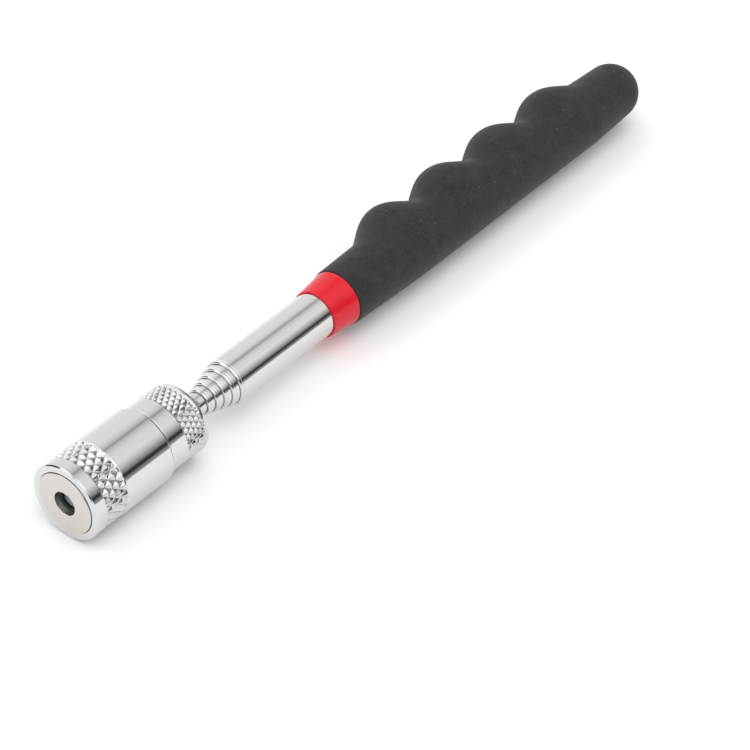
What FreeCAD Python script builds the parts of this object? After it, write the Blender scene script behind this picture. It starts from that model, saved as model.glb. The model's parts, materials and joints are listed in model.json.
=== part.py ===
# A telescopic magnetic pick-up tool with a lamp in its head.
# It lies along +X: the face of the magnet is at X = 0, the closed end of the grip is at the other end.
# Everything is turned about the X axis, apart from the grip's finger humps, a rivet and a coil spring.
import FreeCAD, Part
import Sketcher
import os

from FreeCAD import Placement, Rotation, Vector

doc = FreeCAD.newDocument("pickup_tool")
dims = doc.addObject("Spreadsheet::Sheet", "dims")

drivingSizes = {
    # head sleeve, magnet and lamp
    "magnetRadius": 8.0,
    "magnetHole": 3.1,
    "magnetLength": 5.0,
    "magnetGap": 0.12,
    "magnetEdge": 0.12,
    "magnetProud": 0.3,
    "rimWidth": 1.88,
    "rimChamfer": 0.3,
    "poleLength": 1.2,
    "webLength": 1.5,
    "sleeveLength": 26.1,
    "sleeveChamfer": 0.6,
    "holderGap": 0.05,
    "holderWall": 0.5,
    "holderRecess": 1.8,
    "holderFlangeWidth": 1.3,
    "holderFlangeLength": 1.5,
    "lampGap": 0.05,
    "lampRecess": 2.2,
    "lampRound": 0.6,
    "lampFlangeWidth": 0.4,
    "lampFlangeLength": 1.0,
    "boardLength": 1.0,
    "contactRadius": 2.2,
    "contactLength": 0.3,
    # button cells and the sleeve round them
    "cellRadius": 5.8,
    "cellLength": 5.4,
    "cellStep": 0.9,
    "cellCapLength": 0.9,
    "cellGap": 0.05,
    "batteryGap": 0.15,
    "batteryWall": 0.75,
    "boreGap": 0.05,
    # screwed neck and rear cap
    "neckGap": 0.1,
    "neckWall": 1.1,
    "neckLength": 6.8,
    "threadGap": 0.05,
    "reliefLength": 0.5,
    "shoulderGap": 0.35,
    "ringSection": 0.7,
    "ringPlay": 0.02,
    "ringReach": 1.4,
    "capWall": 1.2,
    "capLength": 13.15,
    "capFloor": 4.75,
    "capRound": 1.5,
    "springGap": 0.65,
    "springWire": 0.3,
    "springRadius": 4.6,
    "springPitch": 0.95,
    # stem between the cap and the telescope
    "stemRadius": 1.8,
    "stemInset": 0.4,
    "pocketGap": 0.3,
    "pocketDepth": 1.6,
    "clipWidth": 1.2,
    "clipLength": 0.6,
    "grooveDepth": 0.5,
    "seatDepth": 1.5,
    "rivetReach": 3.1,
    "rivetRadius": 0.6,
    "rivetHead": 0.95,
    "rivetRise": 0.3,
    "rivetRoll": 52.0,
    # telescope
    "tipRadius": 2.875,
    "tipReach": 5.8,
    "tubeStep": 0.625,
    "tubeWall": 0.3,
    "lipStep": 2.25,
    "lipLength": 1.2,
    "lipGap": 0.05,
    "lipRound": 0.5,
    "bushLength": 12.0,
    "bushGap": 0.03,
    "endPlay": 0.4,
    "sectionTravel": 126.0,
    "plugGap": 4.0,
    "plugLength": 10.0,
    "plugFlange": 1.0,
    # collar and grip
    "collarReach": 33.9,
    "collarLength": 8.5,
    "collarFrontWall": 0.4,
    "collarRearWall": 1.4,
    "collarRound": 0.25,
    "gripFrontWall": 1.6,
    "gripWall": 2.3,
    "gripTaper": 26.0,
    "gripEndWall": 9.8,
    "gripRound": 7.6,
    "humpReach": 25.9,
    "humpPitch": 22.0,
    "humpRise": 4.45,
    "humpDepth": 5.9,
    "humpHalfLength": 10.8,
    "humpHalfWidth": 7.8,
    "humpRoll": 32.0,
}
for row, (alias, value) in enumerate(drivingSizes.items(), start=1):
    dims.set(f"A{row}", alias)
    dims.set(f"B{row}", str(value))
    dims.setAlias(f"B{row}", alias)
doc.recompute()

sections = 5          # tubes that slide, counted from the outer tube's first guest to the tip
cells = 3             # button cells in the head
humps = 4             # finger humps on the grip
made = []             # the sub-parts, each with a Label that names its file


def total(*terms):
    """Add sizes by name, or longer expressions, as one expression."""
    return "(" + " + ".join(f"dims.{t}" if t in drivingSizes else str(t) for t in terms) + ")"


def less(first, *terms):
    """The first size or expression less the others."""
    return "(" + total(first) + " - " + total(*terms) + ")"


def value(expression):
    """What an expression over the sheet comes to, in millimetres or degrees."""
    return float(dims.evalExpression(expression))


# Radii, as expressions over the sheet
magnetBore = total("magnetRadius", "magnetGap")
headRadius = total(magnetBore, "rimWidth")
holderRadius = less("magnetHole", "holderGap")
holderBore = less(holderRadius, "holderWall")
lampRadius = less(holderBore, "lampGap")
batteryBore = total("cellRadius", "batteryGap")
batteryRadius = total(batteryBore, "batteryWall")
headBore = total(batteryRadius, "boreGap")
neckBore = total(batteryRadius, "neckGap")
neckRadius = total(neckBore, "neckWall")
threadBore = total(neckRadius, "threadGap")
capRadius = total(threadBore, "capWall")
clipRadius = total("stemRadius", "clipWidth")
grooveRadius = less("stemRadius", "grooveDepth")
pocketRadius = total(clipRadius, "pocketGap")

# Stations along X, as expressions over the sheet
webFront = total("magnetLength", "poleLength")
webRear = total(webFront, "webLength")
holderRear = total(webRear, "holderFlangeLength")
boardFront = total(holderRear, "lampFlangeLength")
boardRear = total(boardFront, "boardLength")
contactRear = total(boardRear, "contactLength")
cellFront = total(contactRear, "cellGap")
stackRear = total(cellFront, f"{cells} * dims.cellLength")
sleeveRear = total("magnetProud", "sleeveLength")
capShoulder = total(sleeveRear, "shoulderGap")
neckFront = less(capShoulder, "neckLength")
threadFront = less(neckFront, "reliefLength")
capFloorAt = total(capShoulder, "capFloor")
capRear = total(capShoulder, "capLength")
seatFront = less(capRear, "seatDepth")
stemFront = total(capFloorAt, "stemInset")
firstLip = total(capRear, "tipReach")


def lipFront(order):
    """Front of a tube's lip, by its order from the outer tube (0) to the last tube with a lip."""
    return total(firstLip, f"{sections - 1 - order} * dims.lipStep")


def tubeRadius(order):
    return total("tipRadius", f"{sections - order} * dims.tubeStep")


def tubeBore(order):
    return less(tubeRadius(order), "tubeWall")


def tubeRear(order):
    """Rear of a sliding tube: its bush still meets the lip outside it when it is drawn out."""
    return total(lipFront(order - 1), "lipLength", "sectionTravel", "endPlay", "bushLength")


outerRadius = tubeRadius(0)
outerRear = total(tubeRear(1), "plugGap", "plugLength")
collarFront = total(lipFront(0), "collarReach")
gripFront = total(collarFront, "collarLength")
gripEnd = total(outerRear, "plugFlange", "gripEndWall")
gripRadius = total(outerRadius, "gripWall")


def originPart(body, role):
    """One of a body's own origin planes or axes."""
    return next(f for f in body.Origin.OriginFeatures if f.Role == role)


def turned(label, outline):
    """A body turned about X from a closed outline of (station, radius) expressions."""
    body = doc.addObject("PartDesign::Body", label)
    body.Label = label
    sketch = body.newObject("Sketcher::SketchObject", label + "_outline")
    sketch.AttachmentSupport = [(originPart(body, "XY_Plane"), "")]
    sketch.MapMode = "FlatFace"
    corners = [Vector(value(x), value(r), 0) for x, r in outline]
    count = len(corners)
    for i, corner in enumerate(corners):
        sketch.addGeometry(Part.LineSegment(corner, corners[(i + 1) % count]))
    for i in range(count):
        sketch.addConstraint(Sketcher.Constraint("Coincident", i, 2, (i + 1) % count, 1))
    for i, (station, radius) in enumerate(outline):
        bindCorner(sketch, i, "DistanceX", station, corners[i].x)
        bindCorner(sketch, i, "DistanceY", radius, corners[i].y)
    spin = body.newObject("PartDesign::Revolution", label + "_turned")
    spin.Profile = sketch
    spin.ReferenceAxis = (sketch, ["H_Axis"])
    spin.Angle = 360
    doc.recompute()
    made.append(body)
    return body


def bindCorner(sketch, line, kind, expression, start):
    """Hold a line's first point at a distance from the sketch's origin, bound to the sheet."""
    if abs(start) < 1e-9:
        axis = -2 if kind == "DistanceX" else -1
        sketch.addConstraint(Sketcher.Constraint("PointOnObject", line, 1, axis))
        return
    index = sketch.addConstraint(Sketcher.Constraint(kind, -1, 1, line, 1, start))
    sketch.setExpression(f"Constraints[{index}]", expression)


def roundEdges(body, kind, size, places):
    """Chamfer or fillet the circular edges of a body that stand at the given (station, radius)."""
    base = body.Tip
    names = []
    for number, edge in enumerate(base.Shape.Edges, start=1):
        if not isinstance(edge.Curve, Part.Circle):
            continue
        for station, radius in places:
            offStation = abs(edge.Curve.Center.x - value(station))
            offRadius = abs(edge.Curve.Radius - value(radius))
            if max(offStation, offRadius) < 1e-4:
                names.append(f"Edge{number}")
    feature = body.newObject(f"PartDesign::{kind}", f"{body.Label}_{kind.lower()}")
    feature.Base = (base, names)
    feature.setExpression("Radius" if kind == "Fillet" else "Size", total(size))
    doc.recompute()


def rod(name, radius, length, station):
    """A cylinder along X, for booleans."""
    cylinder = doc.addObject("Part::Cylinder", name)
    cylinder.setExpression("Radius", radius)
    cylinder.setExpression("Height", length)
    cylinder.Placement = Placement(Vector(), Rotation(Vector(0, 1, 0), 90))
    cylinder.setExpression("Placement.Base.x", station)
    return cylinder


def joined(label, kind, shapes):
    """A Part boolean of several objects, kept as one sub-part."""
    result = doc.addObject(f"Part::{kind}", label)
    result.Shapes = shapes
    result.Label = label
    made.append(result)


def ringOf(label, inner, outer, front, rear):
    """A plain ring or tube between two stations."""
    return turned(label, [(front, inner), (front, outer), (rear, outer), (rear, inner)])


def discOf(label, radius, front, rear):
    return turned(label, [(front, "0"), (front, radius), (rear, radius), (rear, "0")])


def makeHead():
    """The sleeve that is held to twist the head, with the magnet and the lamp in its front."""
    sleeve = turned("head_sleeve", [
        (total("magnetProud"), magnetBore), (total("magnetProud"), headRadius),
        (sleeveRear, headRadius), (sleeveRear, threadBore),
        (threadFront, threadBore), (threadFront, headBore),
        (webRear, headBore), (webRear, total("magnetHole")),
        (webFront, total("magnetHole")), (webFront, magnetBore),
    ])
    roundEdges(sleeve, "Chamfer", "rimChamfer", [(total("magnetProud"), headRadius)])
    roundEdges(sleeve, "Chamfer", "sleeveChamfer", [(sleeveRear, headRadius)])
    magnet = ringOf("magnet_ring", total("magnetHole"), total("magnetRadius"), "0", total("magnetLength"))
    roundEdges(magnet, "Chamfer", "magnetEdge", [("0", total("magnetRadius")), ("0", total("magnetHole"))])
    ringOf("pole_plate", total("magnetHole"), total("magnetRadius"), total("magnetLength"), webFront)
    flangeRadius = total("magnetHole", "holderFlangeWidth")
    turned("led_holder", [
        (total("holderRecess"), holderBore), (total("holderRecess"), holderRadius),
        (webRear, holderRadius), (webRear, flangeRadius),
        (holderRear, flangeRadius), (holderRear, holderBore),
    ])
    footRadius = total(lampRadius, "lampFlangeWidth")
    lamp = turned("led_lamp", [
        (total("lampRecess"), "0"), (total("lampRecess"), lampRadius),
        (holderRear, lampRadius), (holderRear, footRadius),
        (boardFront, footRadius), (boardFront, "0"),
    ])
    roundEdges(lamp, "Fillet", "lampRound", [(total("lampRecess"), lampRadius)])
    discOf("lamp_board", batteryRadius, boardFront, boardRear)
    discOf("lamp_contact", total("contactRadius"), boardRear, contactRear)


def makeBatteries():
    """Three button cells in a row, their narrow poles to the rear, in an insulating sleeve."""
    ringOf("battery_sleeve", batteryBore, batteryRadius, cellFront, stackRear)
    poleRadius = less("cellRadius", "cellStep")
    for order in range(cells):
        front = total(cellFront, f"{order} * dims.cellLength")
        rear = total(front, "cellLength")
        can = less(rear, "cellCapLength")
        turned(f"cell_{order + 1}", [
            (front, "0"), (front, total("cellRadius")), (can, total("cellRadius")),
            (can, poleRadius), (rear, poleRadius), (rear, "0"),
        ])


def makeRearCap():
    """The rear cap: a screwed neck that enters the head sleeve, and a body that holds the stem."""
    ringFront = total(neckFront, "ringReach")
    ringRear = total(ringFront, "ringSection", "ringSection")
    ringFloor = less(neckRadius, "ringSection")
    pocketFloor = total(capFloorAt, "pocketDepth")
    cap = turned("rear_cap", [
        (neckFront, neckBore), (neckFront, neckRadius),
        (ringFront, neckRadius), (ringFront, ringFloor),
        (ringRear, ringFloor), (ringRear, neckRadius),
        (capShoulder, neckRadius), (capShoulder, capRadius),
        (capRear, capRadius), (capRear, total("tipRadius")),
        (seatFront, total("tipRadius")), (seatFront, total("stemRadius")),
        (pocketFloor, total("stemRadius")), (pocketFloor, pocketRadius),
        (capFloorAt, pocketRadius), (capFloorAt, neckBore),
    ])
    roundEdges(cap, "Fillet", "capRound", [(capRear, capRadius)])
    ringOuter = less(neckRadius, "ringPlay")
    ringOf("neck_o_ring", ringFloor, ringOuter, ringFront, ringRear)
    makeSpring()


def makeSpring():
    """The spring that the cells are pressed against when the head is screwed home."""
    path = doc.addObject("Part::Helix", "spring_path")
    path.setExpression("Radius", total("springRadius"))
    path.setExpression("Pitch", total("springPitch"))
    height = less(less(capFloorAt, stackRear, "springGap"), "springWire", "springWire")
    path.setExpression("Height", height)
    section = doc.addObject("Part::Circle", "spring_section")
    section.setExpression("Radius", total("springWire"))
    section.Placement = Placement(Vector(), Rotation(Vector(1, 0, 0), 90))
    section.setExpression("Placement.Base.x", total("springRadius"))
    coil = doc.addObject("Part::Sweep", "rear_spring")
    coil.Sections = [section]
    coil.Spine = (path, ["Edge1"])
    coil.Solid = True
    coil.Frenet = True
    coil.Label = "rear_spring"
    coil.Placement = Placement(Vector(), Rotation(Vector(0, 1, 0), 90))
    coil.setExpression("Placement.Base.x", total(stackRear, "springGap", "springWire"))
    made.append(coil)


def makeStem():
    """The stem that joins cap and tip tube: clipped inside the cap, and riveted in the tube."""
    clipFront = total(stemFront, "stemInset")
    clipRear = total(clipFront, "clipLength")
    tipBore = tubeBore(sections)
    stemRear = total(capRear, "rivetReach", "rivetReach")
    bare = turned("stem_turned", [
        (stemFront, "0"), (stemFront, total("stemRadius")),
        (clipFront, total("stemRadius")), (clipFront, grooveRadius),
        (clipRear, grooveRadius), (clipRear, total("stemRadius")),
        (seatFront, total("stemRadius")), (seatFront, tipBore),
        (stemRear, tipBore), (stemRear, "0"),
    ])
    drilled("stem", bare)
    ringOf("stem_clip", grooveRadius, clipRadius, clipFront, clipRear)
    shank = acrossTip("rivet_shank", "rivetRadius", total("rivetRise"))
    bored = doc.addObject("Part::Cut", "rivet_heads")
    bored.Base = acrossTip("rivet_head", "rivetHead", total("rivetRise"))
    bored.Tool = rod("rivet_inside", total("tipRadius"), total("rivetHead", "rivetHead"),
                     less(total(capRear, "rivetReach"), "rivetHead"))
    joined("stem_rivet", "MultiFuse", [shank, bored])


def acrossTip(name, radius, stand):
    """A cylinder across the tip tube along the rivet's line, standing out of it at both ends."""
    half = total("tipRadius", stand)
    pin = doc.addObject("Part::Cylinder", name)
    pin.setExpression("Radius", total(radius))
    pin.setExpression("Height", f"2 * {half}")
    pin.Placement = Placement(Vector(), Rotation(Vector(1, 0, 0), 45))
    pin.setExpression("Placement.Rotation.Angle", less("90", "rivetRoll"))
    pin.setExpression("Placement.Base.x", total(capRear, "rivetReach"))
    pin.setExpression("Placement.Base.y", f"{half} * cos(dims.rivetRoll * 1 deg)")
    pin.setExpression("Placement.Base.z", f"-{half} * sin(dims.rivetRoll * 1 deg)")
    return pin


def drilled(label, bare):
    """A turned body with the rivet's hole through it."""
    made.remove(bare)
    cut = doc.addObject("Part::Cut", label)
    cut.Base = bare
    cut.Tool = acrossTip(label + "_drill", "rivetRadius", total("rivetRise"))
    cut.Label = label
    made.append(cut)


def makeTelescope():
    """The outer tube, four lipped tubes and the tip tube, each guided by a bush on its rear end."""
    for order in range(sections):
        front = lipFront(order)
        rear = outerRear if order == 0 else tubeRear(order)
        lipBore = total(tubeRadius(order + 1), "lipGap")
        lipRear = total(front, "lipLength")
        label = "outer_tube" if order == 0 else f"tube_{order}"
        tube = turned(label, [
            (front, lipBore), (front, tubeRadius(order)), (rear, tubeRadius(order)),
            (rear, tubeBore(order)), (lipRear, tubeBore(order)), (lipRear, lipBore),
        ])
        roundEdges(tube, "Fillet", "lipRound", [(front, tubeRadius(order))])
    tipFront = seatFront
    tipRear = tubeRear(sections)
    tip = ringOf("tip_bare", tubeBore(sections), tubeRadius(sections), tipFront, tipRear)
    drilled("tip_tube", tip)
    for order in range(1, sections + 1):
        rear = tubeRear(order)
        outside = less(tubeBore(order - 1), "bushGap")
        label = "tip_bush" if order == sections else f"bush_{order}"
        ringOf(label, tubeRadius(order), outside, less(rear, "bushLength"), rear)


def makeHandle():
    """The plug in the outer tube's end, the red collar and the plain form of the foam grip."""
    plugFront = less(outerRear, "plugLength")
    plugRear = total(outerRear, "plugFlange")
    turned("tube_plug", [
        (plugFront, "0"), (plugFront, tubeBore(0)), (outerRear, tubeBore(0)),
        (outerRear, outerRadius), (plugRear, outerRadius), (plugRear, "0"),
    ])
    collar = turned("collar", [
        (collarFront, outerRadius), (collarFront, total(outerRadius, "collarFrontWall")),
        (gripFront, total(outerRadius, "collarRearWall")), (gripFront, outerRadius),
    ])
    roundEdges(collar, "Fillet", "collarRound", [(gripFront, total(outerRadius, "collarRearWall"))])
    makeGrip(plugRear)


def makeGrip(boreEnd):
    """A foam form with a round end and finger humps along one side, then bored for the tube."""
    grip = turned("grip", [
        (gripFront, "0"), (gripFront, total(outerRadius, "gripFrontWall")),
        (total(gripFront, "gripTaper"), gripRadius), (gripEnd, gripRadius), (gripEnd, "0"),
    ])
    roundEdges(grip, "Fillet", "gripRound", [(gripEnd, gripRadius)])
    depth = less(total(gripRadius, "humpRise"), "humpDepth")
    hump = grip.newObject("PartDesign::AdditiveEllipsoid", "finger_hump")
    hump.setExpression("Radius1", total("humpDepth"))
    hump.setExpression("Radius2", total("humpHalfLength"))
    hump.setExpression("Radius3", total("humpHalfWidth"))
    hump.Placement = Placement(Vector(), Rotation(Vector(1, 0, 0), -45))
    hump.setExpression("Placement.Rotation.Angle", less("90", "humpRoll"))
    hump.setExpression("Placement.Base.x", total(gripFront, "humpReach"))
    hump.setExpression("Placement.Base.y", f"{depth} * cos(dims.humpRoll * 1 deg)")
    hump.setExpression("Placement.Base.z", f"{depth} * sin(dims.humpRoll * 1 deg)")
    doc.recompute()
    row = grip.newObject("PartDesign::LinearPattern", "finger_humps")
    row.Originals = [hump]
    row.Direction = (originPart(grip, "X_Axis"), [""])
    row.Occurrences = humps
    row.setExpression("Length", f"{humps - 1} * dims.humpPitch")
    grip.Tip = row
    doc.recompute()
    bore = grip.newObject("PartDesign::SubtractiveCylinder", "grip_bore")
    bore.setExpression("Radius", outerRadius)
    bore.setExpression("Height", less(boreEnd, gripFront))
    bore.Placement = Placement(Vector(), Rotation(Vector(0, 1, 0), 90))
    bore.setExpression("Placement.Base.x", gripFront)


def checkAndWrite():
    """Stop on a failed object or a bad shape, then write each sub-part to its own file."""
    doc.recompute()
    failed = [o.Label for o in doc.Objects if {"Invalid", "Error"} & set(o.State)]
    bad = [o.Label for o in made if o.Shape.isNull() or not o.Shape.isValid() or not o.Shape.Solids]
    if failed or bad:
        raise SystemExit(f"failed objects {failed}, bad shapes {bad}")
    os.makedirs("parts", exist_ok=True)
    for part in made:
        part.Shape.exportStep(f"parts/{part.Label}.step")
        box = part.Shape.BoundBox
        print(f"{part.Label:16s} {part.Shape.Volume:10.2f} mm3  x {box.XMin:7.2f} to {box.XMax:7.2f}")


makeHead()
makeBatteries()
makeRearCap()
makeStem()
makeTelescope()
makeHandle()
checkAndWrite()
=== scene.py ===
# Looks of a telescopic magnetic pick-up tool: a knurled lamp head with a ring magnet, six nested
# chrome tubes, a red collar and a black foam grip with finger humps. The tool lies along X.
import json
from math import pi, radians, tau

import bpy
import numpy as np
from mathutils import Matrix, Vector


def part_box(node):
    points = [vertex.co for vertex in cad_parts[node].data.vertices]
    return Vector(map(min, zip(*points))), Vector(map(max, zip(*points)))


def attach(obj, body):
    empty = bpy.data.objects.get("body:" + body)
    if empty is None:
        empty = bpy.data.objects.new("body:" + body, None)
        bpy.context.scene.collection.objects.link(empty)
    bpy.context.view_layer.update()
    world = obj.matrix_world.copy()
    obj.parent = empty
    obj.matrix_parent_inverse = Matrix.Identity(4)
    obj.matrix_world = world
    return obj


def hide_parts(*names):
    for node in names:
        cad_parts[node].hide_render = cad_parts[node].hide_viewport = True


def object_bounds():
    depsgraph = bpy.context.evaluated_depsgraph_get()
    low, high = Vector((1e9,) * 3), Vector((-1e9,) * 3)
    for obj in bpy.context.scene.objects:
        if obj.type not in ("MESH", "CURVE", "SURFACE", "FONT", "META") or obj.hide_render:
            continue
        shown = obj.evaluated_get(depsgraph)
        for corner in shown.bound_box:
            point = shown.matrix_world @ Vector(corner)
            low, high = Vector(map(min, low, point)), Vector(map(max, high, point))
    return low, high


mm = 0.001
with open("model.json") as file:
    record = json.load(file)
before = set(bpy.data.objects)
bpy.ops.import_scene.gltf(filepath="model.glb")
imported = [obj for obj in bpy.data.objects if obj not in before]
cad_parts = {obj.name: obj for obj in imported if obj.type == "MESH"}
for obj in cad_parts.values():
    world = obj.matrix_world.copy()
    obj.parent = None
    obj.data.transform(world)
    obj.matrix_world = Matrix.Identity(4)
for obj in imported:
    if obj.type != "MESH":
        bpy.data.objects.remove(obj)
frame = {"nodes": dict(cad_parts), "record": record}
nodes = frame["nodes"]
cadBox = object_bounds()
print("frame loaded,", len(nodes), "nodes")


def ends(node):
    # first and last station of a node along X, and its largest radius
    low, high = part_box(node)
    return low.x, high.x, max(high.y, high.z)


class Wire:
    # a socket that takes part in sums: each operator adds one Math node
    def __init__(self, sheet, socket):
        self.sheet = sheet
        self.socket = socket

    def math(self, operation, first, second):
        return self.sheet.node("Math", {"operation": operation}, {0: first, 1: second})

    def __add__(self, other):
        return self.math("ADD", self, other)

    def __radd__(self, other):
        return self.math("ADD", other, self)

    def __sub__(self, other):
        return self.math("SUBTRACT", self, other)

    def __rsub__(self, other):
        return self.math("SUBTRACT", other, self)

    def __mul__(self, other):
        return self.math("MULTIPLY", self, other)

    def __rmul__(self, other):
        return self.math("MULTIPLY", other, self)

    def __truediv__(self, other):
        return self.math("DIVIDE", self, other)

    def __lt__(self, other):
        return self.math("LESS_THAN", self, other)


class Sheet:
    # one node tree, of a material or of the world
    def __init__(self, owner):
        owner.use_nodes = True
        self.tree = owner.node_tree
        self.tree.nodes.clear()

    def node(self, kind, settings=None, sockets=None, output=0):
        made = self.tree.nodes.new("ShaderNode" + kind)
        for key, setting in (settings or {}).items():
            if key == "stops":
                self.setStops(made.color_ramp, setting)
            else:
                setattr(made, key, setting)
        for key, given in (sockets or {}).items():
            if isinstance(given, Wire):
                self.tree.links.new(given.socket, made.inputs[key])
            else:
                made.inputs[key].default_value = given
        return Wire(self, made.outputs[output]) if len(made.outputs) else None

    def setStops(self, ramp, stops):
        while len(ramp.elements) < len(stops):
            ramp.elements.new(1.0)
        for element, (place, shade) in zip(ramp.elements, stops):
            element.position = place
            element.color = shade if len(shade) == 4 else (*shade, 1.0)

    def place(self, stretch=(1, 1, 1)):
        # object coordinates, stretched by a Mapping node
        spot = self.node("TexCoord", output="Object")
        return self.node("Mapping", None, {"Vector": spot, "Scale": stretch})

    def noise(self, scale, detail=2.0, stretch=(1, 1, 1), roughness=0.5):
        return self.node("TexNoise", None, {
            "Vector": self.place(stretch), "Scale": scale, "Detail": detail, "Roughness": roughness})

    def mix(self, factor, first, second):
        # colour mix; sockets 6 and 7 are the colour inputs, output 2 the colour
        return self.node("Mix", {"data_type": "RGBA"}, {0: factor, 6: first, 7: second}, output=2)

    def ramp(self, factor, *stops):
        return self.node("ValToRGB", {"stops": stops}, {"Fac": factor})

    def spread(self, value, low, high, toLow=0.0, toHigh=1.0):
        return self.node("MapRange", None, {
            "Value": value, "From Min": low, "From Max": high, "To Min": toLow, "To Max": toHigh})

    def bump(self, height, strength, distance, under=None):
        sockets = {"Height": height, "Strength": strength, "Distance": distance}
        if under:
            sockets["Normal"] = under
        return self.node("Bump", None, sockets)


def finish(name, build, **fixed):
    # build gets the sheet and returns the sockets that vary; fixed holds the constant ones
    material = bpy.data.materials.new(name)
    sheet = Sheet(material)
    sockets = {key.replace("_", " "): value for key, value in fixed.items()}
    sockets.update(build(sheet))
    surface = sheet.node("BsdfPrincipled", None, sockets)
    sheet.node("OutputMaterial", None, {"Surface": surface})
    return material


def rgb(red, green, blue):
    return (red, green, blue, 1.0)


def chromePlate(sheet):
    # bright plate: faint smears in the gloss, painted shade low in the knurl, where the base colour
    # darkens with the groove depth
    groove = sheet.node("Attribute", {"attribute_name": "groove"}, output="Fac")
    smear = sheet.noise(160, 3)
    speck = sheet.noise(2600, 2)
    # painted shade: the base colour darkens towards the bottom of each knurl groove
    base = sheet.mix(groove * 0.35, rgb(0.66, 0.66, 0.67), rgb(0.36, 0.355, 0.35))
    rough = 0.06 + smear * 0.06 + groove * 0.06
    return {"Base Color": base, "Roughness": rough, "Normal": sheet.bump(speck, 0.05, 0.01 * mm)}


def chromeTube(sheet):
    # drawn tube: faint lines along the tube, in the gloss and in the relief
    drawn = sheet.noise(60, 3, (0.12, 40, 40))
    smear = sheet.noise(120, 2)
    base = sheet.mix(drawn, rgb(0.635, 0.63, 0.62), rgb(0.695, 0.69, 0.68))
    rough = 0.06 + smear * 0.05 + drawn * 0.05
    return {"Base Color": base, "Roughness": rough, "Normal": sheet.bump(drawn, 0.06, 0.02 * mm)}


def satinNickel(sheet):
    # warm plate with a fine satin grain and a few light rubs
    grain = sheet.noise(5200, 2)
    rub = sheet.noise(420, 3, (1, 1, 0.25))
    base = sheet.mix(rub, rgb(0.61, 0.575, 0.545), rgb(0.66, 0.625, 0.595))
    rough = 0.24 + rub * 0.10 + grain * 0.05
    return {"Base Color": base, "Roughness": rough, "Normal": sheet.bump(grain, 0.10, 0.01 * mm)}


def plainSteel(sheet):
    grain = sheet.noise(1800, 3)
    base = sheet.mix(grain, rgb(0.47, 0.47, 0.48), rgb(0.60, 0.60, 0.61))
    rough = 0.25 + grain * 0.15
    return {"Base Color": base, "Roughness": rough, "Normal": sheet.bump(grain, 0.1, 0.01 * mm)}


def cellCan(sheet):
    grain = sheet.noise(900, 3)
    base = sheet.mix(grain, rgb(0.64, 0.64, 0.65), rgb(0.74, 0.74, 0.75))
    rough = 0.2 + grain * 0.15
    return {"Base Color": base, "Roughness": rough, "Normal": sheet.bump(grain, 0.08, 0.01 * mm)}


def turnedBrass(sheet):
    # rings left by the turning tool
    rings = sheet.noise(90, 2, (60, 1, 1))
    base = sheet.mix(rings, rgb(0.66, 0.49, 0.24), rgb(0.80, 0.63, 0.34))
    rough = 0.22 + rings * 0.14
    return {"Base Color": base, "Roughness": rough, "Normal": sheet.bump(rings, 0.15, 0.02 * mm)}


def blackPlastic(sheet):
    grain = sheet.noise(2400, 3)
    base = sheet.mix(grain, rgb(0.012, 0.011, 0.011), rgb(0.030, 0.027, 0.026))
    rough = 0.38 + grain * 0.15
    return {"Base Color": base, "Roughness": rough, "Normal": sheet.bump(grain, 0.2, 0.02 * mm)}


def sealRubber(sheet):
    grain = sheet.noise(3200, 2)
    base = sheet.mix(grain, rgb(0.014, 0.014, 0.014), rgb(0.032, 0.032, 0.032))
    rough = 0.6 + grain * 0.2
    return {"Base Color": base, "Roughness": rough, "Normal": sheet.bump(grain, 0.2, 0.02 * mm)}


def boardGreen(sheet):
    grain = sheet.noise(700, 3)
    base = sheet.mix(grain, rgb(0.02, 0.14, 0.06), rgb(0.05, 0.24, 0.10))
    rough = 0.35 + grain * 0.1
    return {"Base Color": base, "Roughness": rough, "Normal": sheet.bump(grain, 0.1, 0.02 * mm)}


def lampResin(sheet):
    cloud = sheet.noise(1100, 2)
    base = sheet.mix(cloud, rgb(0.74, 0.77, 0.82), rgb(0.88, 0.90, 0.94))
    return {"Base Color": base, "Roughness": 0.06 + cloud * 0.08}


def phosphor(sheet):
    grain = sheet.noise(5000, 2)
    base = sheet.mix(grain, rgb(0.72, 0.60, 0.12), rgb(0.86, 0.76, 0.22))
    return {"Base Color": base, "Roughness": 0.5 + grain * 0.2}


def glossRed(sheet):
    # moulded collar: even deep red, a slight ripple under the gloss
    ripple = sheet.noise(260, 2)
    base = sheet.mix(ripple, rgb(0.60, 0.006, 0.018), rgb(0.67, 0.010, 0.026))
    rough = 0.20 + ripple * 0.08
    return {"Base Color": base, "Roughness": rough, "Normal": sheet.bump(ripple, 0.12, 0.03 * mm)}


def foamBlack(sheet):
    # closed-cell foam: fine cells, a soft cloudy mottle, a few pale specks of dust
    cloud = sheet.noise(260, 3)
    grain = sheet.noise(1500, 4, roughness=0.65)
    cells = sheet.node("TexVoronoi", None, {"Vector": sheet.place(), "Scale": 2600.0})
    dust = sheet.node("TexVoronoi", None, {"Vector": sheet.place(), "Scale": 330.0})
    speck = (dust < 0.06) * 0.35
    tone = sheet.spread(cloud * 0.4 + grain * 0.6, 0.36, 0.66)
    base = sheet.mix(tone, rgb(0.017, 0.017, 0.0195), rgb(0.037, 0.037, 0.042))
    base = sheet.mix(speck, base, rgb(0.22, 0.22, 0.22))
    relief = sheet.bump(cells, 0.35, 0.08 * mm, sheet.bump(grain, 0.5, 0.12 * mm))
    return {"Base Color": base, "Roughness": 0.86 + grain * 0.1, "Normal": relief}


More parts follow.
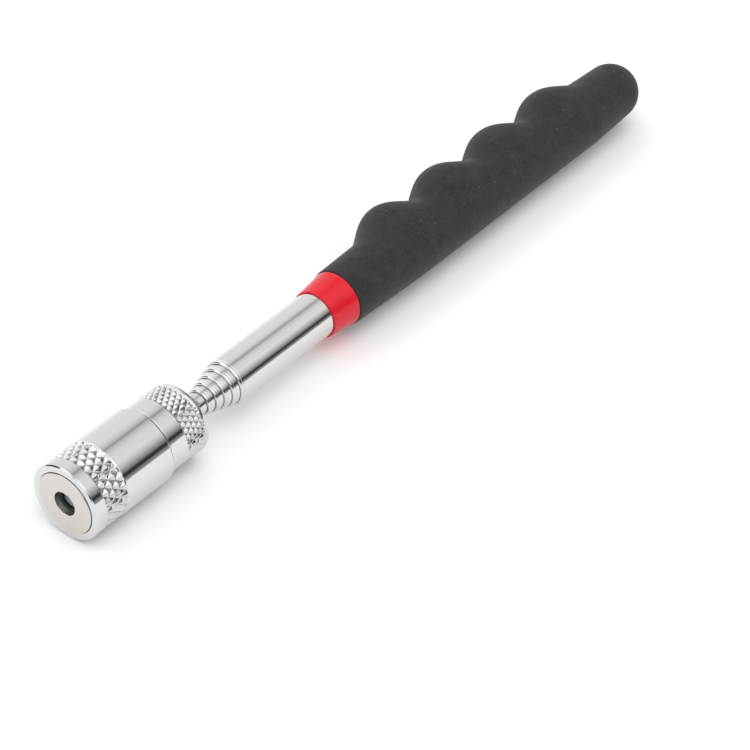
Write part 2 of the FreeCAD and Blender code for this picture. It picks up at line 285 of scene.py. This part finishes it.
finishes = {
    "chrome_plate": finish("chromePlate", chromePlate, Metallic=1.0),
    "chrome_tube": finish("chromeTube", chromeTube, Metallic=1.0),
    "nickel": finish("satinNickel", satinNickel, Metallic=1.0),
    "steel": finish("plainSteel", plainSteel, Metallic=1.0),
    "cell_can": finish("cellCan", cellCan, Metallic=1.0),
    "brass": finish("turnedBrass", turnedBrass, Metallic=1.0),
    "black_plastic": finish("blackPlastic", blackPlastic, Specular_IOR_Level=0.4),
    "seal_rubber": finish("sealRubber", sealRubber, Specular_IOR_Level=0.3),
    "board": finish("boardGreen", boardGreen),
    "lamp_resin": finish("lampResin", lampResin, Transmission_Weight=0.85, IOR=1.5),
    "red_plastic": finish("glossRed", glossRed, Specular_IOR_Level=0.32),
    "foam": finish("foamBlack", foamBlack, Specular_IOR_Level=0.25, Sheen_Weight=0.12,
                   Sheen_Roughness=0.5),
}
phosphorFinish = finish("phosphor", phosphor)
slotOf = {part["node"]: part["material_slot"] for part in frame["record"]["subparts"]}
bodyOf = {node: body for body, held in frame["record"]["behaviour"]["bodies"].items() for node in held}
for name, thing in nodes.items():
    for place in thing.material_slots:
        place.material = finishes[slotOf[name]]
print("finishes made")


arcSteps = 6          # pieces of a rounded corner
bigTurn = 192         # columns round a turned piece


def outline(corners):
    # Rounds a closed outline of (station, radius) or (station, radius, round) corners. A rounded
    # corner is an arc tangent to both sides: its centre is round / sin(half angle) along the bisector,
    # and one more point stands beside each end of the arc, so that the flats stay flat in the shading.
    spots = np.array([corner[:2] for corner in corners], float)
    rounds = [corner[2] if len(corner) > 2 else 0 for corner in corners]
    points = []
    for i, size in enumerate(rounds):
        spot = spots[i]
        if not size:
            points.append(spot[None])
            continue
        back = spots[i - 1] - spot
        ahead = spots[(i + 1) % len(spots)] - spot
        back /= np.linalg.norm(back)
        ahead /= np.linalg.norm(ahead)
        half = np.arccos(np.clip(back @ ahead, -1, 1)) / 2
        middle = (back + ahead) / np.linalg.norm(back + ahead)
        centre = spot + middle * size / np.sin(half)
        reach = size / np.tan(half)
        start = spot + back * reach - centre
        end = spot + ahead * reach - centre
        swing = np.arctan2(start[0] * end[1] - start[1] * end[0], start @ end)
        angles = np.linspace(0, swing, arcSteps + 1)[:, None]
        arc = centre + start * np.cos(angles) + np.array([-start[1], start[0]]) * np.sin(angles)
        guard = 0.04 * size
        points.append(spot + back * (reach + guard))
        points.append(arc)
        points.append(spot + ahead * (reach + guard))
    return np.vstack(points)


def lathe(points, columns=bigTurn):
    # each (station, radius) point becomes a circle about X: y = r cos(angle), z = r sin(angle)
    angles = np.arange(columns) * tau / columns
    station = np.broadcast_to(points[:, :1], (len(points), columns))
    return np.stack([station, points[:, 1:] * np.cos(angles), points[:, 1:] * np.sin(angles)], axis=2)


def meshOf(name, grid, poles=False):
    # Faces of a grid of rows x columns x 3 whose columns wrap round. Its rows wrap too, unless its
    # first and last rows are poles, each one point. A quad is split along its lower diagonal, and all
    # faces are turned round if the signed volume, a sixth of the sum of a . (b x c), is negative.
    rows, columns = grid.shape[:2]
    index = np.arange(rows * columns).reshape(rows, columns)
    verts = grid.reshape(-1, 3)
    if poles:
        index = np.vstack([np.full(columns, 0), index[1:-1] - columns + 1,
                           np.full(columns, (rows - 2) * columns + 1)])
        verts = np.vstack([grid[0, :1], grid[1:-1].reshape(-1, 3), grid[-1, :1]])
    else:
        index = np.vstack([index, index[:1]])
    a, b = index[:-1], index[1:]
    c, d = np.roll(b, -1, axis=1), np.roll(a, -1, axis=1)
    a, b, c, d = (part.ravel() for part in (a, b, c, d))
    height = np.hypot(verts[:, 1], verts[:, 2])
    low = (height[a] + height[c] < height[b] + height[d])[:, None]
    first = np.where(low, np.stack([a, b, c], 1), np.stack([a, b, d], 1))
    second = np.where(low, np.stack([a, c, d], 1), np.stack([b, c, d], 1))
    faces = np.vstack([first, second])
    distinct = (faces[:, 0] != faces[:, 1]) & (faces[:, 1] != faces[:, 2]) & (faces[:, 0] != faces[:, 2])
    faces = faces[distinct]
    corner = verts[faces]
    volume = np.einsum("ij,ij->i", corner[:, 0], np.cross(corner[:, 1], corner[:, 2])).sum() / 6
    if volume < 0:
        faces = faces[:, ::-1]
    mesh = bpy.data.meshes.new(name)
    mesh.from_pydata(verts.tolist(), [], faces.tolist())
    mesh.validate()
    return mesh


def addPiece(name, mesh, node, slot=None, body=None, sharp=35, material=None, stands=True):
    # puts a mesh in the scene for a node: same body, same slot, and the node itself hidden
    piece = bpy.data.objects.new(name, mesh)
    bpy.context.scene.collection.objects.link(piece)
    slot = slot or slotOf[node]
    mesh.materials.append(material or finishes[slot])
    mesh.shade_smooth()
    mesh.set_sharp_from_angle(angle=radians(sharp))
    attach(piece, body or bodyOf[node])
    if stands:
        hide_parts(node)
    return piece


def turned(name, node, corners, columns=bigTurn, **more):
    # a ring or tube turned about X from a closed outline clear of the axis
    return addPiece(name, meshOf(name, lathe(outline(corners), columns)), node, **more)


def turnedSolid(name, node, corners, columns=bigTurn, **more):
    # a solid turned about X: the outline starts and ends on the axis
    return addPiece(name, meshOf(name, lathe(outline(corners), columns), poles=True), node, **more)


def bandRows(band, radius):
    # stations across a knurled band, evenly spaced so that the crossing grooves run through them, and
    # one more close beside each end, so that the plain barrel next to the band stays flat in the shading
    step = band["pitch"] / band["rowsPerPitch"]
    count = round((band["rear"] - band["front"]) / step)
    places = [band["front"] + i * step for i in range(count + 1)]
    places = [places[0] - band["beside"], *places, places[-1] + band["beside"]]
    return [(place, radius) for place in places]


def knurled(name, node, corners, band, radius):
    # Cuts a diamond knurl into the band of a turned piece. Two families of grooves cross: u and v are
    # starts * angle / turn plus and minus the station over the pitch. tri(w) is 0 on a groove line and
    # 1 midway, m is the lesser tri, and the surface is lowered by depth * (1 - m) ^ roundness, faded
    # out over a short stretch at both ends of the band.
    columns = band["starts"] * band["rowsPerPitch"]
    grid = lathe(outline(corners), columns)
    station = grid[..., 0]
    angle = np.arctan2(grid[..., 2], grid[..., 1])
    reach = np.hypot(grid[..., 1], grid[..., 2])
    turn = band["starts"] * angle / tau
    run = (station - band["front"]) / band["pitch"]
    tri = [1 - np.abs(2 * np.mod(w, 1) - 1) for w in (turn + run, turn - run)]
    low = (1 - np.minimum(*tri)) ** band["roundness"]
    inside = np.minimum(station - band["front"], band["rear"] - station) / band["fade"]
    low = low * np.clip(inside, 0, 1) * (np.abs(reach - radius) < 1e-6)
    grid[..., 1:] *= (1 - band["depth"] * low / reach)[..., None]
    mesh = meshOf(name, grid)
    # the lowering is kept as the groove attribute; the plate finish paints shade into the grooves from it
    groove = mesh.attributes.new("groove", "FLOAT", "POINT")
    groove.data.foreach_set("value", low.ravel().astype(np.float32))
    return addPiece(name, mesh, node, sharp=60)


headSizes = {"rimEdge": 0.30 * mm, "rimRound": 0.10 * mm, "rearEdge": 0.60 * mm, "rearRound": 0.15 * mm,
             "innerRound": 0.10 * mm, "web": 1.50 * mm, "relief": 0.5 * mm, "threadGap": 0.07 * mm,
             "cellGap": 0.05 * mm, "seatGap": 0.12 * mm, "lampGap": 0.25 * mm}
headKnurl = {"front": 3.5 * mm, "rear": 10.8 * mm, "pitch": 3.47 * mm, "starts": 26, "rowsPerPitch": 16,
             "depth": 0.55 * mm, "roundness": 1.0, "fade": 0.30 * mm, "beside": 0.12 * mm}


def makeHeadSleeve(s, band):
    front, rear, radius = ends("head_sleeve")
    magnetRadius = ends("magnet_ring")[2]
    plateRear = ends("pole_plate")[1]
    neckFront = ends("rear_cap")[0]
    threadBore = ends("neck_o_ring")[2] + s["threadGap"]
    cellBore = ends("battery_sleeve")[2] + s["cellGap"]
    seat = magnetRadius + s["seatGap"]
    webBore = ends("led_lamp")[2] + s["lampGap"]
    relief = neckFront - s["relief"]
    knurled("head_sleeve_knurled", "head_sleeve", [
        (front, seat, s["innerRound"]),
        (front, radius - s["rimEdge"], s["rimRound"]), (front + s["rimEdge"], radius, s["rimRound"]),
        *bandRows(band, radius),
        (rear - s["rearEdge"], radius, s["rearRound"]), (rear, radius - s["rearEdge"], s["rearRound"]),
        (rear, threadBore), (relief, threadBore), (relief, cellBore), (plateRear + s["web"], cellBore),
        (plateRear + s["web"], webBore), (plateRear, webBore), (plateRear, seat),
    ], band, radius)


def makeMagnet():
    s = {"bore": 3.1 * mm, "outerRound": 0.12 * mm, "boreRound": 0.18 * mm}
    front, rear, radius = ends("magnet_ring")
    turned("magnet_ring_plated", "magnet_ring", [
        (front, s["bore"], s["boreRound"]), (front, radius, s["outerRound"]),
        (rear, radius, s["outerRound"]), (rear, s["bore"], s["boreRound"]),
    ])


def makeLamp():
    # the holder is a black tube with a flange; the lamp is a flat-faced resin body round a small cup
    s = {"outer": 3.05 * mm, "wall": 0.50 * mm, "lipRound": 0.15 * mm, "flange": 1.5 * mm,
         "bodyGap": 0.05 * mm, "faceRound": 0.60 * mm, "cupFront": 0.7 * mm, "cupRear": 2.0 * mm,
         "cupRadius": 1.5 * mm, "cupFloor": 0.7 * mm, "cupWall": 0.12 * mm, "chip": 0.45 * mm,
         "chipRound": 0.1 * mm, "postRadius": 0.25 * mm}
    front, rear, flangeRadius = ends("led_holder")
    bore = s["outer"] - s["wall"]
    turned("led_holder_moulded", "led_holder", [
        (front, bore, s["lipRound"]), (front, s["outer"], s["lipRound"]),
        (rear - s["flange"], s["outer"]), (rear - s["flange"], flangeRadius, s["lipRound"]),
        (rear, flangeRadius, s["lipRound"]), (rear, bore),
    ], columns=96)
    lampFront, lampRear, lampFlange = ends("led_lamp")
    body = bore - s["bodyGap"]
    turnedSolid("led_lamp_resin", "led_lamp", [
        (lampFront, 0), (lampFront, body, s["faceRound"]), (rear, body),
        (rear, lampFlange, s["lipRound"]), (lampRear, lampFlange, s["lipRound"]), (lampRear, 0),
    ], columns=96)
    cup, floor, wall = s["cupRadius"], s["cupFloor"], s["cupWall"]
    mouth, heel = lampFront + s["cupFront"], lampFront + s["cupRear"]
    turnedSolid("led_cup", "led_lamp", [
        (heel - wall, 0), (heel - wall, floor), (mouth, cup), (mouth, cup + wall), (heel, floor + wall),
        (lampRear - wall, s["postRadius"] * 2), (lampRear - wall, 0),
    ], columns=64, slot="steel", stands=False)
    turnedSolid("led_chip", "led_lamp", [
        (heel - wall * 3, 0), (heel - wall * 3, s["chip"], s["chipRound"]),
        (heel - wall / 2, s["chip"]), (heel - wall / 2, 0),
    ], columns=32, slot="lamp_resin", material=phosphorFinish, stands=False)


makeHeadSleeve(headSizes, headKnurl)
makeMagnet()
makeLamp()
print("head made")


capSizes = {"shoulder": 13.15 * mm, "frontRound": 0.20 * mm, "rearRound": 1.50 * mm,
            "seatDepth": 1.5 * mm, "ringPlace": 1.4 * mm, "ringWidth": 1.4 * mm, "ringDepth": 0.7 * mm,
            "neckWall": 1.1 * mm, "neckGap": 0.02 * mm, "neckRound": 0.2 * mm, "boreRound": 0.15 * mm,
            "stemRadius": 1.8 * mm, "floor": 4.75 * mm}
capKnurl = {"front": 31.8 * mm, "rear": 38.25 * mm, "pitch": 2.7 * mm, "starts": 33, "rowsPerPitch": 12,
            "depth": 0.46 * mm, "roundness": 1.0, "fade": 0.30 * mm, "beside": 0.12 * mm}


def makeRearCap(s, band):
    neckFront, rear, radius = ends("rear_cap")
    tipRadius = ends("tip_tube")[2]
    stem = s["stemRadius"]
    shoulder = rear - s["shoulder"]
    neck = ends("neck_o_ring")[2] + s["neckGap"]
    ring = neckFront + s["ringPlace"]
    bore = neck - s["neckWall"]
    seat = rear - s["seatDepth"]
    floor = shoulder + s["floor"]
    knurled("rear_cap_knurled", "rear_cap", [
        (neckFront, bore), (neckFront, neck, s["neckRound"]), (ring, neck), (ring, neck - s["ringDepth"]),
        (ring + s["ringWidth"], neck - s["ringDepth"]), (ring + s["ringWidth"], neck),
        (shoulder, neck), (shoulder, radius, s["frontRound"]),
        *bandRows(band, radius),
        (rear, radius, s["rearRound"]), (rear, tipRadius, s["boreRound"]),
        (seat, tipRadius), (seat, stem), (floor, stem), (floor, bore),
    ], band, radius)


def makeRivet():
    # Two domed heads on one pin through the stem. Each head is a cap of a sphere, r = R sin(a), turned
    # about the rivet's own line, which lies across the tip tube.
    s = {"head": 0.95 * mm, "rise": 0.30 * mm, "pin": 0.60 * mm, "sink": 0.25 * mm,
         "roll": 52}
    low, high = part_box("stem_rivet")
    centre = (low + high) / 2
    tube = ends("tip_tube")[2]
    half = tube + s["rise"]
    sphere = (s["head"] ** 2 + s["rise"] ** 2) / (2 * s["rise"])
    sweep = np.linspace(0, np.arcsin(s["head"] / sphere), 9)
    cap = np.stack([half - sphere * (1 - np.cos(sweep)), sphere * np.sin(sweep)], 1)
    under = tube - s["sink"]
    skirt = np.array([[under, s["head"]], [under, s["pin"]]])
    side = np.vstack([cap, skirt])
    both = np.vstack([side, side[::-1] * (-1, 1)])
    grid = lathe(both, 48)
    roll = radians(s["roll"])
    along = np.array([0, -np.cos(roll), np.sin(roll)])
    across = np.array([0, np.sin(roll), np.cos(roll)])
    axes = np.stack([along, np.array([1.0, 0, 0]), across])
    grid = grid @ axes + np.array([centre.x, 0, 0])
    addPiece("stem_rivet_domed", meshOf("stem_rivet_domed", grid, poles=True), "stem_rivet")


makeRearCap(capSizes, capKnurl)
makeRivet()
print("rear cap made")


lipSizes = {"length": 1.2 * mm, "round": 0.50 * mm, "innerRound": 0.05 * mm, "wall": 0.30 * mm,
            "gap": 0.05 * mm, "crimpPlace": 0.95 * mm, "crimpWidth": 0.30 * mm, "crimpDepth": 0.06 * mm,
            "crimpEdge": 0.04 * mm, "crimpRound": 0.08 * mm, "rearRound": 0.08 * mm}


def makeTubes(s):
    # every tube but the tip has a lip rolled in at its front, with a shallow crimp line behind it
    names = ["outer_tube", "tube_1", "tube_2", "tube_3", "tube_4", "tip_tube"]
    for name, guest in zip(names, names[1:]):
        front, rear, radius = ends(name)
        lipBore = ends(guest)[2] + s["gap"]
        crimp = front + s["crimpPlace"]
        dip = s["crimpWidth"] / 2
        turned(name + "_drawn", name, [
            (front, lipBore, s["innerRound"]), (front, radius, s["round"]),
            (crimp - dip, radius, s["crimpEdge"]), (crimp, radius - s["crimpDepth"], s["crimpRound"]),
            (crimp + dip, radius, s["crimpEdge"]),
            (rear, radius, s["rearRound"]), (rear, radius - s["wall"], s["rearRound"]),
            (front + s["length"], radius - s["wall"]), (front + s["length"], lipBore),
        ])
    front, rear, radius = ends("tip_tube")
    turned("tip_tube_drawn", "tip_tube", [
        (front, radius - s["wall"]), (front, radius, s["rearRound"]),
        (rear, radius, s["rearRound"]), (rear, radius - s["wall"]),
    ])


makeTubes(lipSizes)
print("telescope made")


def makeCollar():
    s = {"frontWall": 0.40 * mm, "frontRound": 0.12 * mm, "rearRound": 0.25 * mm}
    front, rear, radius = ends("collar")
    tube = ends("outer_tube")[2]
    turned("collar_moulded", "collar", [
        (front, tube), (front, tube + s["frontWall"], s["frontRound"]),
        (rear, radius, s["rearRound"]), (rear, tube),
    ])


gripSizes = {"radius": 8.3 * mm, "frontRadius": 7.6 * mm, "taper": 26 * mm, "frontRound": 0.5 * mm,
             "endRadius": 7.62 * mm, "endTaper": 15 * mm, "humps": 4, "humpReach": 25.6 * mm,
             "humpPitch": 22.0 * mm, "humpRise": 4.44 * mm, "lastRise": 3.87 * mm,
             "humpReachOut": 11.7 * mm, "slope": 2.18, "foot": 2.0, "humpRoll": 32,
             "humpPower": 9, "rows": 320, "columns": 160}


def makeGrip(s):
    # Radius of the foam at a station and an angle: a rod that swells over the front taper, narrows a
    # little towards the rear and ends in half a sphere, plus the finger humps. A hump's rise is
    # rise * (1 - |(x - place) / reach| ^ slope) ^ foot, times cos(half the angle from the hump line) ^
    # power, so it fades out softly all round.
    front, rear, _ = ends("grip")
    bore = ends("outer_tube")[2]
    boreEnd = ends("tube_plug")[1]
    shoulder = rear - s["endRadius"]
    straight = np.linspace(front, shoulder, s["rows"])
    edge = front + s["frontRound"] * (1 - np.cos(np.linspace(0, pi / 2, 7)))
    fall = np.linspace(0, pi / 2, 40)[1:]
    station = np.unique(np.concatenate([straight, edge, shoulder + s["endRadius"] * np.sin(fall)]))
    swell = np.clip((station - front) / s["taper"], 0, 1)
    late = np.clip((station - shoulder) / s["endTaper"] + 1, 0, 1)
    plain = s["frontRadius"] + (s["radius"] - s["frontRadius"]) * swell
    plain = plain - (s["radius"] - s["endRadius"]) * late
    lead = 1 - np.clip((station - front) / s["frontRound"], 0, 1)
    plain = plain - s["frontRound"] * (1 - np.sqrt(1 - lead ** 2))
    order = np.arange(s["humps"])[:, None]
    place = front + s["humpReach"] + order * s["humpPitch"]
    rise = s["humpRise"] + (s["lastRise"] - s["humpRise"]) * order / (s["humps"] - 1)
    near = np.clip(1 - np.abs((station - place) / s["humpReachOut"]) ** s["slope"], 0, None)
    bulge = (rise * near ** s["foot"]).sum(axis=0)
    angle = np.arange(s["columns"]) * tau / s["columns"]
    facing = np.abs(np.cos((angle - radians(s["humpRoll"])) / 2)) ** s["humpPower"]
    radius = plain[:, None] + bulge[:, None] * facing
    inEnd = np.clip((station - shoulder) / s["endRadius"], 0, 1)
    radius *= np.sqrt(1 - inEnd ** 2)[:, None]
    ring = np.stack([np.broadcast_to(station[:, None], radius.shape),
                     radius * np.cos(angle), radius * np.sin(angle)], 2)
    inside = lathe(np.array([[boreEnd, 0], [boreEnd, bore], [front, bore]]), s["columns"])
    piece = addPiece("grip_foam", meshOf("grip_foam", np.concatenate([inside, ring]), poles=True), "grip")


makeCollar()
makeGrip(gripSizes)
print("handle made")


studio = {"floorHalf": 3.0, "floorTone": 0.90, "floorGap": 0.02 * mm, "backdrop": 0.245, "strength": 4.0,
          "lampPlace": (0.1, -0.7, 1.4), "lampSize": 1.8, "lampPower": 7.0,
          "azimuth": -51.29, "elevation": 39.09, "distance": 0.721, "lens": 153.6,
          "target": (58.17 * mm, -43.05 * mm, 22.44 * mm)}


def makeFloor(s):
    # one square face at the tool's lowest point
    level = cadBox[0].z - s["floorGap"]
    half = s["floorHalf"]
    mesh = bpy.data.meshes.new("floor")
    corners = [(-half, -half, level), (half, -half, level), (half, half, level), (-half, half, level)]
    mesh.from_pydata(corners, [], [(0, 1, 2, 3)])
    floor = bpy.data.objects.new("floor", mesh)
    bpy.context.scene.collection.objects.link(floor)

    def paper(sheet):
        haze = sheet.noise(1.5, 2)
        tone = s["floorTone"]
        base = sheet.mix(haze, rgb(tone, tone, tone), rgb(tone + 0.01, tone + 0.01, tone + 0.01))
        return {"Base Color": base, "Roughness": 0.9 + haze * 0.05}

    mesh.materials.append(finish("whitePaper", paper, Specular_IOR_Level=0.0))


# brightness of the studio round the tool's axis, by angle in degrees from +Y over +Z
studioLook = [(0, 1.04), (55, 1.03), (67, 0.87), (74, 0.70), (80, 0.40), (86, 0.70), (93, 0.85),
              (105, 0.99), (128, 1.04), (139, 0.82), (145, 0.64), (151, 0.45), (157, 0.27), (162, 0.035),
              (169, 0.05), (172, 0.24), (180, 0.42), (190, 1.04)]
# the studio is brighter ahead of the magnet and darker behind the grip: a factor by the X of the way
studioBias = [(-1.0, 1.35), (0.20, 1.7), (0.46, 1.0), (0.76, 1.0), (0.88, 0.35), (1.0, 0.3)]
# and a dark card stands low beyond the magnet, round a way of its own
studioSpots = [{"way": (-0.42, 0.87, 0.25), "inner": 16, "outer": 24, "tone": 0.06}]


def makeWorld(s):
    # The look is mixed with each spot's tone by how near the way looked in is to the spot's own way.
    # The two ramps hold halves, because their colours stop at 1, and the strength makes up for both.
    world = bpy.data.worlds.new("studio")
    bpy.context.scene.world = world
    sheet = Sheet(world)
    way = sheet.node("TexCoord", output="Generated")
    split = sheet.node("SeparateXYZ", None, {"Vector": way})
    ahead, side, up = (Wire(sheet, split.socket.node.outputs[name]) for name in "XYZ")
    turn = sheet.node("Math", {"operation": "ARCTAN2"}, {0: up, 1: side}) / tau
    turn = sheet.node("Math", {"operation": "FRACT"}, {0: turn + 1})
    look = sheet.ramp(turn, *[(angle / 360, (tone / 2, tone / 2, tone / 2)) for angle, tone in studioLook])
    bias = sheet.ramp(sheet.spread(ahead, -1, 1),
                      *[((x + 1) / 2, (part / 2, part / 2, part / 2)) for x, part in studioBias])
    look = look * bias
    for spot in studioSpots:
        x, y, z = Vector(spot["way"]).normalized()
        near = sheet.spread(ahead * x + side * y + up * z,
                            np.cos(radians(spot["outer"])), np.cos(radians(spot["inner"])))
        tone = spot["tone"] / s["strength"]
        look = sheet.mix(near, look, rgb(tone, tone, tone))
    seen = sheet.node("LightPath", output="Is Camera Ray")
    colour = sheet.mix(seen, look, rgb(s["backdrop"], s["backdrop"], s["backdrop"]))
    sky = sheet.node("Background", None, {"Color": colour, "Strength": s["strength"]})
    sheet.node("OutputWorld", None, {"Surface": sky})


def makeLight(s):
    lamp = bpy.data.lights.new("overhead", "AREA")
    lamp.shape = "DISK"
    lamp.size = s["lampSize"]
    lamp.energy = s["lampPower"]
    overhead = bpy.data.objects.new("overhead", lamp)
    overhead.location = s["lampPlace"]
    overhead.rotation_mode = "QUATERNION"
    overhead.rotation_quaternion = Vector(s["lampPlace"]).to_track_quat("Z", "Y")
    overhead.visible_glossy = False
    overhead.visible_camera = False
    bpy.context.scene.collection.objects.link(overhead)


def makeCamera(s):
    lens = bpy.data.cameras.new("camera")
    lens.lens = s["lens"]
    lens.sensor_width = 36.0
    camera = bpy.data.objects.new("camera", lens)
    around, over = radians(s["azimuth"]), radians(s["elevation"])
    back = Vector((np.sin(around) * np.cos(over), -np.cos(around) * np.cos(over), np.sin(over)))
    camera.location = Vector(s["target"]) + back * s["distance"]
    camera.rotation_mode = "QUATERNION"
    camera.rotation_quaternion = (-back).to_track_quat("-Z", "Y")
    bpy.context.scene.collection.objects.link(camera)
    bpy.context.scene.camera = camera


makeFloor(studio)
makeWorld(studio)
makeLight(studio)
makeCamera(studio)
bpy.context.scene.view_settings.view_transform = "Standard"
print("studio made")
